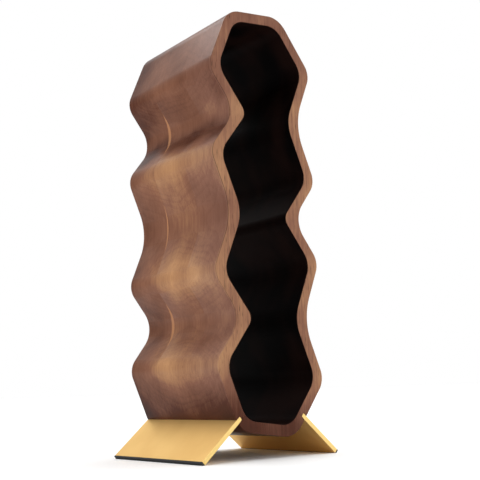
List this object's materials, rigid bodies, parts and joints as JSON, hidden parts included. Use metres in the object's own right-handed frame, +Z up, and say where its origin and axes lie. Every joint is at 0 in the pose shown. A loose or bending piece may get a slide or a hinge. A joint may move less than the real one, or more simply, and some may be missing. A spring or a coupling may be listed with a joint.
{
  "type": "wine rack",
  "caption": "Upright free-standing wine rack: a wavy walnut tube with stacked six-sided bottle cells, lined in black, on two splayed gold metal foot plates.",
  "frame": {"origin": "on the floor, midway between the two feet and at the middle of the rack's depth", "axes": "+Z up, -Y out of the front, +X to the right as the front is faced"},
  "size_m": [0.1962, 0.175, 0.5196],
  "materials": {
    "walnut": "oiled satin, upright grain",
    "black_lining": "satin black",
    "gold_plate": "satin, fine bead-blasted, bright edges",
    "black_rubber": "matt",
    "steel_screw": "plain"
  },
  "bodies": {
    "root": {"front_ring": "walnut", "middle_ring": "walnut", "back_ring": "walnut", "black_lining": "black_lining", "left_foot_plate": "gold_plate", "right_foot_plate": "gold_plate", "left_foot_strip": "black_rubber", "right_foot_strip": "black_rubber", "left_foot_screws": "steel_screw", "right_foot_screws": "steel_screw"}
  },
  "joints": []
}
